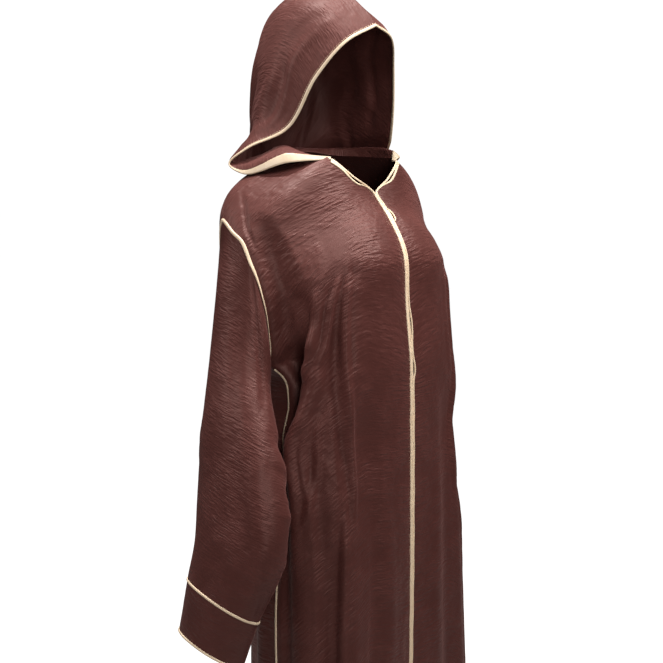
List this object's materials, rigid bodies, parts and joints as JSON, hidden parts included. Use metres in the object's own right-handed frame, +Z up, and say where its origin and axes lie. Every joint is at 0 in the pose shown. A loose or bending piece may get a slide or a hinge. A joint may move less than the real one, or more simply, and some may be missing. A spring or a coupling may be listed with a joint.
{
  "type": "hooded abaya",
  "caption": "Long hooded abaya in brown crinkled satin with cream piping, worn open at the throat, hollow and held up at the shoulders.",
  "frame": {"origin": "middle of the neck at the height of the neck's side points, where the shoulders carry the robe", "axes": "+Z up, -Y the way the wearer faces, +X towards the wearer's left arm"},
  "size_m": [0.6814, 0.3507, 1.6985],
  "materials": {
    "crinkled_satin": "brown crinkled satin with a soft sheen",
    "cream_piping": "cream satin piping and narrow facing"
  },
  "bodies": {
    "root": {"front_right": "crinkled_satin", "front_left": "crinkled_satin", "back": "crinkled_satin", "sleeve_right": "crinkled_satin", "sleeve_left": "crinkled_satin", "cuff_right": "crinkled_satin", "cuff_left": "crinkled_satin", "hood_right": "crinkled_satin", "hood_left": "crinkled_satin", "front_trim_right": "cream_piping", "front_trim_left": "cream_piping", "side_trim_right": "cream_piping", "side_trim_left": "cream_piping", "armhole_trim_right": "cream_piping", "armhole_trim_left": "cream_piping", "cuff_trim_right": "cream_piping", "cuff_trim_left": "cream_piping", "sleeve_hem_trim_right": "cream_piping", "sleeve_hem_trim_left": "cream_piping", "hood_trim_right": "cream_piping", "hood_trim_left": "cream_piping", "throat_loop": "cream_piping"}
  },
  "joints": []
}
